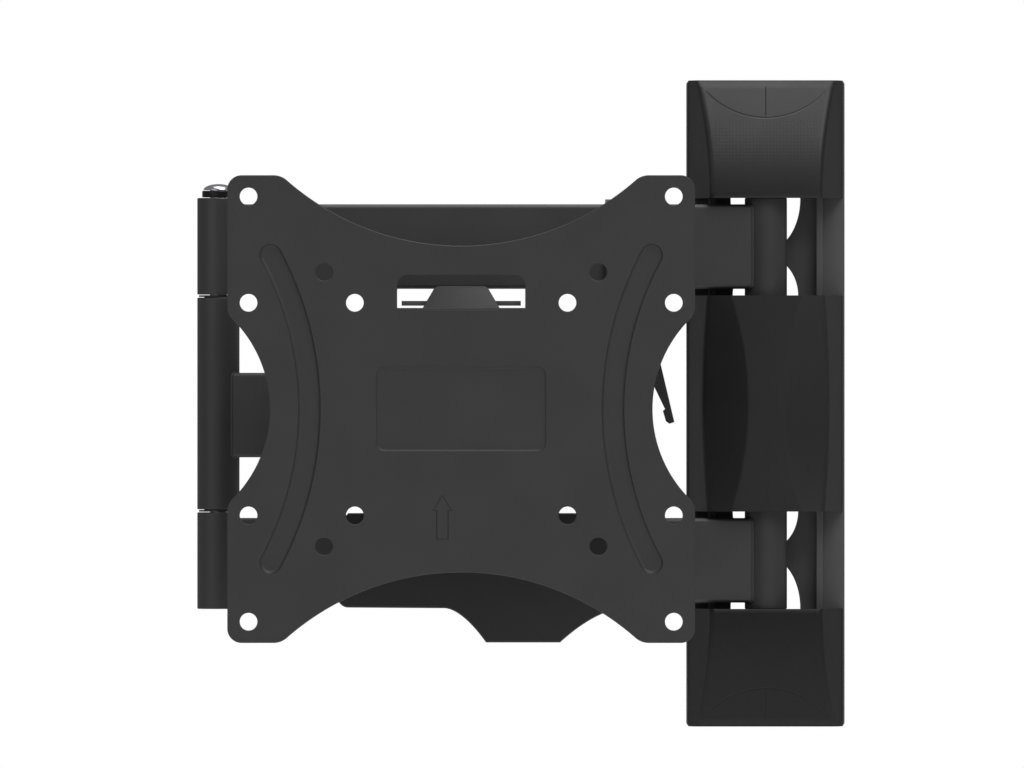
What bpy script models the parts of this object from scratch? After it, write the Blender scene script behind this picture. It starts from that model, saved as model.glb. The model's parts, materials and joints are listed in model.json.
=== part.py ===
"""Full motion wall mount for a flat screen, folded against the wall.

A steel wall plate carries a vertical pivot behind three plastic covers. A long double arm swings on that
pivot, a short arm swings on the elbow at its far end, and a yoke on the short arm turns and tilts the
screen plate. Metres, +Z up, the wall is the plane y = 0 and the screen faces -Y. The origin is the middle of
the wall plate's back face.
"""

import math

import bmesh
import bpy
from mathutils import Vector

MM = 0.001
FIT = 0.3 * MM  # gap between two pieces that touch
ROUND = 32  # sides of a turned piece
HOLE_SIDES = 20

# Wall plate and hinge channel
WALL_WIDTH = 75 * MM
WALL_HEIGHT = 306 * MM
WALL_SHEET = 2.5 * MM
WALL_CORNER = 2 * MM
CHANNEL_WIDTH = 54.2 * MM
CHANNEL_HEIGHT = 216 * MM
CHANNEL_SHEET = 3.1 * MM
CHANNEL_RISE = 9.5 * MM  # height of the flanges above the wall plate
BELL_OUTER = (16.5 * MM, 24.6 * MM, 99.5 * MM)  # half width, height and straight edge of a window's outer bell
BELL_OUTER_BASE = 97 * MM
BELL_INNER = (15.5 * MM, 18.6 * MM, 45 * MM)
BELL_INNER_BASE = 51 * MM
LAG_HOLE = 8 * MM
LAG_HOLE_Z = 122 * MM
LAG_SLOT_LENGTH = 24 * MM
LAG_SLOT_Z = 140 * MM

# Pivots, shared by the wall, the elbow and the head
PIVOT_DEPTH = 22 * MM  # wall face to the plane of the three upright axes
LONG_ARM = 259 * MM  # wall pivot to elbow
SHORT_ARM = 115 * MM  # elbow to head swivel
BARREL_RADIUS = 10 * MM
BARREL_BORE = 7 * MM
STACK_HEIGHT = 194.4 * MM  # wall pivot tube, and the three elbow barrels together
SPLIT_Z = 50.8 * MM  # middle of the elbow's two splits
BOLT_RADIUS = 4 * MM
BUSH_LENGTH = 14 * MM
BUSH_FLANGE = 0.8 * MM
BUSH_FLANGE_RADIUS = 9.2 * MM
WASHER_RADIUS = 8 * MM
WASHER_SHEET = 1.6 * MM
HEX_RADIUS = 7.5 * MM  # across the corners, of bolt heads and nuts
HEAD_HEIGHT = 5.3 * MM
NUT_HEIGHT = 6.5 * MM
THREAD_END = 1 * MM  # bolt that stands out of its nut
EAR_SHEET = 3 * MM
EAR_RADIUS = 11 * MM
BRACKET_WIDTH = 40 * MM
BRACKET_TAB = 13 * MM
BRACKET_WAIST = 7 * MM

# Arms
TUBE_HEIGHT = 40 * MM
TUBE_DEPTH = 16 * MM
TUBE_WALL = 2 * MM
TUBE_EDGE = 2 * MM
TUBE_Z = 74.2 * MM  # middle of the long arm's tubes, above and below the mount's middle
SHORT_ARM_Z = -5.5 * MM

# Elbow bolt
DOME_RADIUS = 7.1 * MM
DOME_HEIGHT = 2.9 * MM
DOME_STEPS = 5
COLLAR_RADIUS = 7.7 * MM
COLLAR_HEIGHT = 3.1 * MM
NUT_POCKET_RADIUS = 8 * MM

# Head: the yoke that swivels, and the tilt axle
YOKE_WIDTH = 44 * MM
YOKE_SHEET = 3 * MM
YOKE_REACH = 16 * MM  # swivel axis to the back of the yoke's web
YOKE_EAR_RADIUS = 12 * MM
TILT_REACH = 31 * MM  # swivel axis to the tilt axle
TILT_EAR_RADIUS = 10 * MM
TILT_EAR_ROOT = 28 * MM
FRICTION_WASHER = 3 * MM

# Screen plate
PLATE_SIZE = 220 * MM
PLATE_SHEET = 2.5 * MM
PLATE_REACH = 70 * MM  # swivel axis to the back of the screen plate
PLATE_Z = -2.6 * MM
PLATE_CORNER = 6.7 * MM
TOP_SCALLOP_RADIUS = 124.4 * MM
TOP_SCALLOP_WAIST = 76.8 * MM
TOP_SCALLOP_FILLET = 9.5 * MM
SIDE_SCALLOP_RADIUS = 59.6 * MM
SIDE_SCALLOP_WAIST = 90 * MM
SIDE_SCALLOP_FILLET = 8 * MM
SCREEN_HOLE = 8.3 * MM
SCREEN_HOLES = ((100, 100), (100, 50), (50, 50), (64.5, 64.5))  # one quarter of the pattern, in millimetres
GROOVE_RADIUS = 153 * MM
GROOVE_WAIST = 71.4 * MM
GROOVE_WIDTH = 10 * MM
GROOVE_HALF_HEIGHT = 77.8 * MM
GROOVE_DEPTH = 1.6 * MM
RECESS_WIDTH = 80 * MM
RECESS_HEIGHT = 40 * MM
RECESS_CORNER = 4 * MM
RECESS_DEPTH = 0.8 * MM
SLOT_WIDTH = 60.2 * MM
SLOT_BOTTOM = 47.6 * MM
SLOT_TOP = 63.2 * MM
SLOT_CORNER = 5 * MM
TONGUE_WIDTH = 36 * MM
TONGUE_TIP_WIDTH = 20.5 * MM
TONGUE_HEIGHT = 10 * MM
TONGUE_LEAN = math.radians(15)
TONGUE_SHEET = 2 * MM

# Tilt bracket, welded to the back of the screen plate
BRACKET_SHEET = 2.5 * MM
BRACKET_TOP = 46 * MM
BRACKET_BOTTOM = -42 * MM
BRACKET_EAR_ROOT = 60 * MM
SHELF_WIDTH = 56.1 * MM
SHELF_TOP = 50.9 * MM
SHELF_SHEET = 2.25 * MM
SHELF_DEPTH = 12 * MM
NECK_WIDTH = 28 * MM
NECK_ROOT = 20 * MM

# Covers
COVER_DEPTH = 36 * MM
COVER_WALL = 2 * MM
COVER_SIDE_SLOPE = 0.314  # how much a side leans in for each step away from the wall
WINDOW_OUTER = 97.1 * MM
WINDOW_INNER = 51.1 * MM
END_COVER_TIP = 15.5 * MM  # depth of the top and bottom covers at their far ends
END_COVER_STEPS = 6
RIDGE_MIDDLE = 8.3 * MM  # half width of the middle cover's flat ridge
RIDGE_END = 16.5 * MM
SCOOP_MIDDLE = 24.5 * MM  # depth at the outer edge of the middle cover's side scoops
SCOOP_END = 32 * MM
MIDDLE_COVER_STEPS = 8
COVER_CLEARANCE = 1.2 * MM

# Cable pieces on the long arm, placed along it from the wall pivot
CABLE_WALL = 2 * MM
CABLE_COVER_SPAN = (202.5 * MM, 60 * MM)
CABLE_COVER_CHAMFER = 5 * MM
LOBE_TOP_SPAN = (152 * MM, 67 * MM)
LOBE_FLOOR_SPAN = (132.4 * MM, 97.4 * MM)
LOBE_DROP = 16.5 * MM
LOBE_STEPS = 5
DUCT_FLOOR = 0.6 * MM  # lobe left between the tube's wall and the cable duct
CLIP_BAND_SPAN = (76 * MM, 58 * MM)
CLIP_HORN_DEPTH = 12 * MM
CLIP_HORN = (  # outline of the horn: distance from the wall pivot and drop from the band, in millimetres
    (75, 0), (59, 0), (49.8, 34.2), (43.3, 61.7), (45.6, 62.5),
    (47.3, 61.3), (48.7, 56.4), (47.7, 55.6), (52.8, 45), (66, 13), (75, 7),
)

# Derived places
AXIS_Y = -PIVOT_DEPTH
ELBOW_X = -LONG_ARM
HEAD_X = ELBOW_X + SHORT_ARM
TILT_Y = AXIS_Y - TILT_REACH
PLATE_BACK = AXIS_Y - PLATE_REACH
PLATE_FRONT = PLATE_BACK - PLATE_SHEET
STACK_TOP = STACK_HEIGHT / 2
JOINT_GAP = BUSH_FLANGE + 2 * FIT
BOLT_HOLE = BOLT_RADIUS + FIT
BUSH_RADIUS = BARREL_BORE - FIT
CHANNEL_BACK = WALL_SHEET + FIT
CHANNEL_WEB = CHANNEL_BACK + WALL_SHEET
TUBE_FRONT = AXIS_Y - TUBE_DEPTH / 2
BRACKET_INNER = YOKE_WIDTH / 2 + FIT + FRICTION_WASHER + FIT
BRACKET_OUTER = BRACKET_INNER + BRACKET_SHEET

FLAT = (0, 0, 0)  # an outline's x and y stay, and its thickness runs up
FACING = (math.pi / 2, 0, 0)  # its y runs up, and its thickness runs through the wall
SIDEWAYS = (math.pi / 2, 0, math.pi / 2)  # its x runs through the wall, its y up and its thickness across
ALONG_X = (0, math.pi / 2, 0)  # a turned piece's axis runs across

AXES = {
    "wall": Vector((0, 0, 0)),
    "long_arm": Vector((0, AXIS_Y, 0)),
    "short_arm": Vector((ELBOW_X, AXIS_Y, 0)),
    "head": Vector((HEAD_X, AXIS_Y, SHORT_ARM_Z)),
    "screen": Vector((HEAD_X, TILT_Y, SHORT_ARM_Z)),
}
PARENT_BODY = {"long_arm": "wall", "short_arm": "long_arm", "head": "short_arm", "screen": "head"}
FINISHES = {  # colour, roughness, metallic
    "black_steel": ((0.040, 0.040, 0.042), 0.55, 0.3),
    "arm_steel": ((0.036, 0.036, 0.038), 0.5, 0.3),
    "barrel_steel": ((0.028, 0.028, 0.030), 0.45, 0.4),
    "cover_plastic": ((0.022, 0.022, 0.023), 0.5, 0.0),
    "clip_plastic": ((0.020, 0.020, 0.021), 0.5, 0.0),
    "zinc": ((0.62, 0.62, 0.64), 0.3, 1.0),
    "dark_fastener": ((0.05, 0.05, 0.05), 0.4, 0.8),
    "nylon": ((0.030, 0.030, 0.030), 0.5, 0.0),
}


def clear_scene():
    for obj in list(bpy.data.objects):
        bpy.data.objects.remove(obj, do_unlink=True)


def new_collection(name):
    made = bpy.data.collections.new(name)
    bpy.context.scene.collection.children.link(made)
    return made


def new_material(name, finish):
    colour, roughness, metallic = FINISHES[finish]
    made = bpy.data.materials.new(name)
    made.use_nodes = True
    shader = made.node_tree.nodes["Principled BSDF"]
    shader.inputs["Base Color"].default_value = (*colour, 1)
    shader.inputs["Roughness"].default_value = roughness
    shader.inputs["Metallic"].default_value = metallic
    return made


def make_axes():
    """One empty on each joint axis, each inside the one it turns on."""
    made = {}
    for body, place in AXES.items():
        empty = bpy.data.objects.new(body + "_axis", None)
        empty.empty_display_size = 0.03
        PARTS.objects.link(empty)
        parent = PARENT_BODY.get(body)
        empty.location = place
        if parent:
            empty.parent = made[parent]
            empty.location = place - AXES[parent]
        made[body] = empty
    return made


def add(name, mesh, body, place, finish, rotation=FLAT, smooth=False):
    """A part on its body's axis. Its place is given in the mount's own frame."""
    obj = bpy.data.objects.new(name, mesh)
    PARTS.objects.link(obj)
    obj.parent = EMPTIES[body]
    obj.location = Vector(place) - AXES[body]
    obj.rotation_euler = rotation
    mesh.materials.append(new_material(name, finish))
    if smooth:
        mesh.shade_smooth()
        mesh.set_sharp_from_angle(angle=math.radians(35))
    return obj


def add_cutter(name, mesh, place, rotation=FLAT):
    obj = bpy.data.objects.new(name, mesh)
    CUTTERS.objects.link(obj)
    obj.location = place
    obj.rotation_euler = rotation
    obj.hide_render = True
    obj.display_type = "WIRE"
    return obj


def join(target, tool, operation="DIFFERENCE"):
    modifier = target.modifiers.new(tool.name, "BOOLEAN")
    modifier.object = tool
    modifier.operation = operation
    return target


def box_mesh(width, depth, height):
    made = bmesh.new()
    bmesh.ops.create_cube(made, size=1)
    bmesh.ops.scale(made, vec=(width, depth, height), verts=made.verts)
    mesh = bpy.data.meshes.new("box")
    made.to_mesh(mesh)
    made.free()
    return mesh


def rod_mesh(radius, length, sides=ROUND):
    made = bmesh.new()
    bmesh.ops.create_cone(
        made, cap_ends=True, segments=sides, radius1=radius, radius2=radius, depth=length
    )
    mesh = bpy.data.meshes.new("rod")
    made.to_mesh(mesh)
    made.free()
    return mesh


def slab_mesh(outlines, thickness):
    """A flat sheet in its own XY plane, centred on z = 0. The first outline is its edge, the rest are holes."""
    curve = bpy.data.curves.new("outline", "CURVE")
    curve.dimensions = "2D"
    curve.fill_mode = "BOTH"
    curve.extrude = thickness / 2
    for outline in outlines:
        spline = curve.splines.new("POLY")
        spline.points.add(len(outline) - 1)
        for point, (x, y) in zip(spline.points, outline):
            point.co = (x, y, 0, 1)
        spline.use_cyclic_u = True
    guide = bpy.data.objects.new("outline", curve)
    CUTTERS.objects.link(guide)
    graph = bpy.context.evaluated_depsgraph_get()
    mesh = bpy.data.meshes.new_from_object(guide.evaluated_get(graph))
    bpy.data.objects.remove(guide)
    made = bmesh.new()
    made.from_mesh(mesh)
    bmesh.ops.remove_doubles(made, verts=made.verts, dist=0.000001)
    bmesh.ops.recalc_face_normals(made, faces=made.faces)
    made.to_mesh(mesh)
    made.free()
    return mesh


def profile_mesh(profile):
    """The section of a turned piece: (radius, height) points down its outer side. A ring's section is closed."""
    ring = profile[0][0] > 0
    count = len(profile)
    edges = [(i, (i + 1) % count) for i in range(count if ring else count - 1)]
    mesh = bpy.data.meshes.new("profile")
    mesh.from_pydata([(radius, 0, height) for radius, height in profile], edges, [])
    return mesh


def turned(name, profile, body, place, finish, rotation=FLAT):
    obj = add(name, profile_mesh(profile), body, place, finish, rotation)
    screw = obj.modifiers.new("turn", "SCREW")
    screw.steps = ROUND
    screw.render_steps = ROUND
    screw.use_merge_vertices = True
    screw.merge_threshold = 0.000001
    screw.use_smooth_shade = True
    return obj


def ring_profile(outer, inner, bottom, top):
    return [(outer, top), (outer, bottom), (inner, bottom), (inner, top)]


def arc(centre, radius, start, end, steps):
    """Points on an arc between two angles in degrees, both ends included. The radius may be (across, up)."""
    across, up = radius if isinstance(radius, tuple) else (radius, radius)
    angles = [math.radians(start + (end - start) * i / steps) for i in range(steps + 1)]
    return [(centre[0] + across * math.cos(a), centre[1] + up * math.sin(a)) for a in angles]


def circle(centre, radius, sides=HOLE_SIDES):
    return arc(centre, radius, 0, 360, sides)[:-1]


def rounded_box(width, height, radius, centre=(0, 0), steps=3):
    """A rectangle with round corners, anticlockwise from its right side."""
    points = []
    for turn, (sx, sy) in enumerate(((1, 1), (-1, 1), (-1, -1), (1, -1))):
        middle = (
            centre[0] + sx * (width / 2 - radius),
            centre[1] + sy * (height / 2 - radius),
        )
        points += arc(middle, radius, 90 * turn, 90 * turn + 90, steps)
    return points


def stadium(length, width, centre):
    half = length / 2 - width / 2
    right = arc((centre[0] + half, centre[1]), width / 2, -90, 90, HOLE_SIDES // 2)
    left = arc((centre[0] - half, centre[1]), width / 2, 90, 270, HOLE_SIDES // 2)
    return right + left


def bell(shape, base, side):
    """Opening in the wall steel behind a window: half an ellipse, run on to a straight edge. side is 1 or -1."""
    half_width, height, edge = shape
    away = 1 if edge > base else -1
    curve = arc((0, base), (half_width, -away * height), 0, 180, 12)
    points = [(half_width, edge)] + curve + [(-half_width, edge)]
    return [(x, side * y) for x, y in points]


def bells():
    """The four openings, tied to the windows that show them."""
    made = []
    for side in (1, -1):
        made.append(bell(BELL_OUTER, BELL_OUTER_BASE, side))
        made.append(bell(BELL_INNER, BELL_INNER_BASE, side))
    return made


def bolt_hole(target, place, rotation=FLAT, length=STACK_HEIGHT):
    """Cuts a clearance hole for a bolt through the target."""
    tool = add_cutter(target.name + "_hole", rod_mesh(BOLT_HOLE, length, HOLE_SIDES), place, rotation)
    return join(target, tool)


def hex_bolt(name, body, top, bottom, axis, rotation, finish):
    """A bolt with a hexagonal head. top is under the head and bottom the thread's end, along its own axis."""
    shank = turned(name, [(0, top + HEAD_HEIGHT / 2), (BOLT_RADIUS, top + HEAD_HEIGHT / 2),
                          (BOLT_RADIUS, bottom), (0, bottom)], body, axis, finish, rotation)
    spin = Vector((0, 0, top + HEAD_HEIGHT / 2))
    spin.rotate(shank.rotation_euler)
    tool = add_cutter(name + "_head", rod_mesh(HEX_RADIUS, HEAD_HEIGHT, 6), Vector(axis) + spin, rotation)
    return join(shank, tool, "UNION")


def hex_nut(name, body, place, rotation, height, finish):
    outline = circle((0, 0), HEX_RADIUS, 6)
    mesh = slab_mesh([outline, circle((0, 0), BOLT_HOLE)], height)
    return add(name, mesh, body, place, finish, rotation)


def flanged_bush(name, body, place, upward, finish="nylon"):
    """A plain bearing in the mouth of a barrel. Its flange lies on the barrel's end, at place."""
    inner = BOLT_HOLE
    start = upward * FIT
    end = upward * (FIT + BUSH_FLANGE)
    back = -upward * BUSH_LENGTH
    section = [(BUSH_FLANGE_RADIUS, end), (BUSH_FLANGE_RADIUS, start), (BUSH_RADIUS, start),
               (BUSH_RADIUS, back), (inner, back), (inner, end)]
    if upward < 0:
        section.reverse()
    return turned(name, section, body, place, finish)


def barrel(name, body, x, bottom, top, bore):
    edge = 0.4 * MM
    section = [(BARREL_RADIUS - edge, top), (BARREL_RADIUS, top - edge), (BARREL_RADIUS, bottom + edge),
               (BARREL_RADIUS - edge, bottom), (bore, bottom), (bore, top)]
    return turned(name, section, body, (x, AXIS_Y, 0), "barrel_steel")


def arm_tube(name, body, start_x, end_x, z):
    """A rectangular tube between two upright axes, its ends notched round the barrels there."""
    outer = rounded_box(TUBE_DEPTH, TUBE_HEIGHT, TUBE_EDGE)
    inner = rounded_box(
        TUBE_DEPTH - 2 * TUBE_WALL, TUBE_HEIGHT - 2 * TUBE_WALL, max(TUBE_EDGE - TUBE_WALL / 2, FIT)
    )
    mesh = slab_mesh([outer, inner], abs(end_x - start_x) - BARREL_RADIUS)
    obj = add(name, mesh, body, ((start_x + end_x) / 2, AXIS_Y, z), "arm_steel", SIDEWAYS)
    for side, x in enumerate((start_x, end_x)):
        notch = rod_mesh(BARREL_RADIUS + FIT, TUBE_HEIGHT * 1.2, 2 * ROUND)
        join(obj, add_cutter(f"{name}_notch_{side}", notch, (x, AXIS_Y, z)))
    return obj


def make_wall_plate():
    outlines = [rounded_box(WALL_WIDTH, WALL_HEIGHT, WALL_CORNER)] + bells()
    for side in (1, -1):
        outlines.append(circle((0, side * LAG_HOLE_Z), LAG_HOLE / 2))
        outlines.append(stadium(LAG_SLOT_LENGTH, LAG_HOLE, (0, side * LAG_SLOT_Z)))
    mesh = slab_mesh(outlines, WALL_SHEET)
    add("wall_plate", mesh, "wall", (0, -WALL_SHEET / 2, 0), "black_steel", FACING)


def make_hinge_channel():
    """The channel on the wall plate whose flanges show beside the pivot tube in the windows."""
    outline = rounded_box(CHANNEL_WIDTH, CHANNEL_HEIGHT, FIT, steps=1)
    web = slab_mesh([outline] + bells(), WALL_SHEET)
    middle = -(CHANNEL_BACK + CHANNEL_WEB) / 2
    channel = add("hinge_channel", web, "wall", (0, middle, 0), "black_steel", FACING)
    depth = CHANNEL_RISE - WALL_SHEET / 2
    for side, name in ((1, "right"), (-1, "left")):
        x = side * (CHANNEL_WIDTH / 2 - CHANNEL_SHEET / 2 - FIT / 2)
        flange = box_mesh(CHANNEL_SHEET, depth, CHANNEL_HEIGHT - 2 * FIT)
        tool = add_cutter("channel_flange_" + name, flange, (x, middle - depth / 2, 0))
        join(channel, tool, "UNION")


def make_hinge_brackets():
    """The two ears that hold the wall pivot bolt, above and below the pivot tube."""
    ear_face = STACK_TOP + JOINT_GAP
    back = CHANNEL_WEB + FIT
    half = BRACKET_WIDTH / 2
    waist = -(back + BRACKET_WAIST)
    round_end = arc((0, AXIS_Y), EAR_RADIUS, 0, -180, 14)
    outline = [(half, -back), (half, waist)] + round_end + [(-half, waist), (-half, -back)]
    for side, name in ((1, "top"), (-1, "bottom")):
        mesh = slab_mesh([outline, circle((0, AXIS_Y), BOLT_HOLE)], EAR_SHEET)
        place = (0, 0, side * (ear_face + EAR_SHEET / 2))
        ear = add("hinge_bracket_" + name, mesh, "wall", place, "black_steel")
        tab = box_mesh(BRACKET_WIDTH - 2 * FIT, EAR_SHEET, BRACKET_TAB)
        height = side * (ear_face + FIT + BRACKET_TAB / 2)
        tool = add_cutter(f"bracket_tab_{name}", tab, (0, -back - EAR_SHEET / 2 - FIT / 2, height))
        join(ear, tool, "UNION")


def make_wall_pivot():
    ear_top = STACK_TOP + JOINT_GAP + EAR_SHEET
    under_head = ear_top + WASHER_SHEET + 2 * FIT
    axis = (0, AXIS_Y, 0)
    thread_end = -(under_head + NUT_HEIGHT + THREAD_END)
    hex_bolt("wall_pivot_bolt", "wall", under_head, thread_end, axis, FLAT, "zinc")
    nut_place = (0, AXIS_Y, -(under_head + NUT_HEIGHT / 2))
    hex_nut("wall_pivot_nut", "wall", nut_place, FLAT, NUT_HEIGHT, "zinc")
    for side, name in ((1, "top"), (-1, "bottom")):
        low, high = sorted((side * (ear_top + FIT), side * (ear_top + FIT + WASHER_SHEET)))
        section = ring_profile(WASHER_RADIUS, BOLT_HOLE, low, high)
        turned("wall_pivot_washer_" + name, section, "wall", axis, "zinc")
        flanged_bush("wall_pivot_bush_" + name, "long_arm", (0, AXIS_Y, side * STACK_TOP), side)
    barrel("wall_pivot_tube", "long_arm", 0, -STACK_TOP, STACK_TOP, BARREL_BORE)


def loft(name, sections):
    """A closed mesh through sections of equally many points, each a loop in a plane of its own height."""
    count = len(sections[0][1])
    points = [(x, y, z) for z, loop in sections for x, y in loop]
    faces = [tuple(range(count)), tuple(range(len(points) - count, len(points)))]
    for row in range(len(sections) - 1):
        for i in range(count):
            j = (i + 1) % count
            low, high = row * count, (row + 1) * count
            faces.append((low + i, low + j, high + j, high + i))
    mesh = bpy.data.meshes.new(name)
    mesh.from_pydata(points, [], faces)
    made = bmesh.new()
    made.from_mesh(mesh)
    bmesh.ops.recalc_face_normals(made, faces=made.faces)
    made.to_mesh(mesh)
    made.free()
    return mesh


def cover_section(depth, wall, ridge=None, scoop=None):
    """A cover's outline at one height, or with wall set its hollow's. Its back lies on the wall plate."""
    back = CHANNEL_BACK if wall == 0 else 0
    lean = math.hypot(1, COVER_SIDE_SLOPE)
    half = WALL_WIDTH / 2 - wall * lean
    edge = (depth if scoop is None else scoop) - wall
    top = depth - wall
    inner = half - COVER_SIDE_SLOPE * edge if ridge is None else ridge - wall / 2
    right = [(half - COVER_SIDE_SLOPE * back, -back), (half - COVER_SIDE_SLOPE * edge, -edge)]
    if ridge is not None:
        right.append((inner, -top))
    return right + [(-x, y) for x, y in reversed(right)]


def end_cover_sections(side, wall):
    """The top cover from its window edge to its end. The hollow runs past the window edge."""
    length = WALL_HEIGHT / 2 - WINDOW_OUTER
    sections = []
    for i in range(END_COVER_STEPS + 1):
        share = i / END_COVER_STEPS
        depth = COVER_DEPTH - (COVER_DEPTH - END_COVER_TIP) * share**2
        height = WINDOW_OUTER + length * share
        if wall and i == 0:
            height -= wall
        if wall and i == END_COVER_STEPS:
            height -= wall
        sections.append((side * height, cover_section(depth, wall)))
    return sections


def middle_cover_sections(wall):
    half = WINDOW_INNER - wall
    sections = []
    for i in range(MIDDLE_COVER_STEPS + 1):
        share = 2 * i / MIDDLE_COVER_STEPS - 1
        ridge = RIDGE_MIDDLE + (RIDGE_END - RIDGE_MIDDLE) * share**2
        scoop = SCOOP_MIDDLE + (SCOOP_END - SCOOP_MIDDLE) * share**2
        sections.append((half * share, cover_section(COVER_DEPTH, wall, ridge, scoop)))
    return sections


def make_covers():
    for side, name in ((1, "top"), (-1, "bottom")):
        shell = add("cover_" + name, loft("shell", end_cover_sections(side, 0)), "wall", (0, 0, 0), "cover_plastic")
        hollow = loft("hollow", end_cover_sections(side, COVER_WALL))
        join(shell, add_cutter("cover_hollow_" + name, hollow, (0, 0, 0)))
    shell = add("cover_middle", loft("shell", middle_cover_sections(0)), "wall", (0, 0, 0), "cover_plastic")
    join(shell, add_cutter("cover_hollow_middle", loft("hollow", middle_cover_sections(COVER_WALL)), (0, 0, 0)))
    room = BARREL_RADIUS + COVER_CLEARANCE
    notch = arc((0, AXIS_Y), room, 0, -180, 12) + [(-room, WALL_SHEET), (room, WALL_SHEET)]
    mesh = slab_mesh([notch], 2 * WINDOW_INNER + COVER_WALL)
    join(shell, add_cutter("cover_tube_notch", mesh, (0, 0, 0)))
    depth = CHANNEL_BACK + CHANNEL_RISE + COVER_CLEARANCE
    mesh = box_mesh(CHANNEL_WIDTH + 2 * COVER_CLEARANCE, 2 * depth, 2 * WINDOW_INNER + 2 * COVER_WALL)
    join(shell, add_cutter("cover_channel_notch", mesh, (0, 0, 0)))


def make_long_arm():
    for side, name in ((1, "upper"), (-1, "lower")):
        arm_tube(f"long_arm_tube_{name}", "long_arm", ELBOW_X, 0, side * TUBE_Z)


def make_elbow():
    inner = SPLIT_Z + JOINT_GAP / 2
    barrel("elbow_barrel_top", "long_arm", ELBOW_X, inner, STACK_TOP, BOLT_HOLE)
    bottom = barrel("elbow_barrel_bottom", "long_arm", ELBOW_X, -STACK_TOP, -inner, BOLT_HOLE)
    pocket_depth = NUT_HEIGHT + THREAD_END + FIT
    pocket = rod_mesh(NUT_POCKET_RADIUS, 2 * pocket_depth)
    join(bottom, add_cutter("elbow_nut_pocket", pocket, (ELBOW_X, AXIS_Y, -STACK_TOP)))
    middle = SPLIT_Z - JOINT_GAP / 2
    barrel("elbow_barrel_middle", "short_arm", ELBOW_X, -middle, middle, BARREL_BORE)
    flanged_bush("elbow_bush_top", "short_arm", (ELBOW_X, AXIS_Y, middle), 1)
    flanged_bush("elbow_bush_bottom", "short_arm", (ELBOW_X, AXIS_Y, -middle), -1)
    axis = (ELBOW_X, AXIS_Y, 0)
    collar_top = STACK_TOP + FIT + COLLAR_HEIGHT
    section = ring_profile(COLLAR_RADIUS, BOLT_HOLE, STACK_TOP + FIT, collar_top)
    turned("elbow_collar", section, "long_arm", axis, "dark_fastener")
    seat = collar_top + FIT
    dome = [(0, seat + DOME_HEIGHT)]
    dome += arc((0, seat), (DOME_RADIUS, DOME_HEIGHT), 75, 0, DOME_STEPS)
    section = dome + [(BOLT_RADIUS, seat), (BOLT_RADIUS, -STACK_TOP + FIT), (0, -STACK_TOP + FIT)]
    turned("elbow_bolt", section, "long_arm", axis, "zinc")
    nut_place = (ELBOW_X, AXIS_Y, -STACK_TOP + THREAD_END + NUT_HEIGHT / 2)
    hex_nut("elbow_nut", "long_arm", nut_place, FLAT, NUT_HEIGHT, "zinc")


def make_short_arm():
    arm_tube("short_arm_tube", "short_arm", ELBOW_X, HEAD_X, SHORT_ARM_Z)
    low = SHORT_ARM_Z - TUBE_HEIGHT / 2
    high = SHORT_ARM_Z + TUBE_HEIGHT / 2
    barrel("head_barrel", "short_arm", HEAD_X, low, high, BARREL_BORE)
    flanged_bush("head_bush_top", "short_arm", (HEAD_X, AXIS_Y, high), 1)
    flanged_bush("head_bush_bottom", "short_arm", (HEAD_X, AXIS_Y, low), -1)


def tilt_ear(root_y, root_height, radius, thickness):
    """An upright ear: straight along its root, round about the tilt axle, with the axle's hole. Around the axle."""
    half = root_height / 2
    towards = 1 if root_y > 0 else -1
    tip = arc((0, 0), radius, 90, 270, 14) if towards > 0 else arc((0, 0), radius, -90, 90, 14)
    root = [(root_y, -half), (root_y, half)] if towards > 0 else [(root_y, half), (root_y, -half)]
    return slab_mesh([root + tip, circle((0, 0), BOLT_HOLE)], thickness)


def make_yoke():
    """The bracket that swivels on the short arm's end and holds the tilt axle."""
    web_back = AXIS_Y - YOKE_REACH
    inner = TUBE_HEIGHT / 2 + JOINT_GAP
    half = YOKE_WIDTH / 2
    height = 2 * (inner + YOKE_SHEET)
    web = box_mesh(YOKE_WIDTH - FIT, YOKE_SHEET, height)
    place = (HEAD_X, web_back - YOKE_SHEET / 2, SHORT_ARM_Z)
    yoke = add("swivel_yoke", web, "head", place, "black_steel")
    web_middle = -YOKE_REACH - YOKE_SHEET / 2
    shoulder = -YOKE_REACH + YOKE_SHEET
    round_end = arc((0, 0), YOKE_EAR_RADIUS, 0, 180, 14)
    outline = round_end + [(-half, shoulder), (-half, web_middle), (half, web_middle), (half, shoulder)]
    for side, name in ((1, "top"), (-1, "bottom")):
        mesh = slab_mesh([outline, circle((0, 0), BOLT_HOLE)], YOKE_SHEET - FIT / 3)
        z = SHORT_ARM_Z + side * (inner + YOKE_SHEET / 2)
        tool = add_cutter("yoke_ear_" + name, mesh, (HEAD_X, AXIS_Y, z))
        join(yoke, tool, "UNION")
    root = TILT_REACH - YOKE_REACH - YOKE_SHEET / 2
    for side, name in ((1, "right"), (-1, "left")):
        mesh = tilt_ear(root, TILT_EAR_ROOT, TILT_EAR_RADIUS, YOKE_SHEET)
        x = HEAD_X + side * (half - YOKE_SHEET / 2)
        tool = add_cutter("yoke_tilt_ear_" + name, mesh, (x, TILT_Y, SHORT_ARM_Z), SIDEWAYS)
        join(yoke, tool, "UNION")


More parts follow.
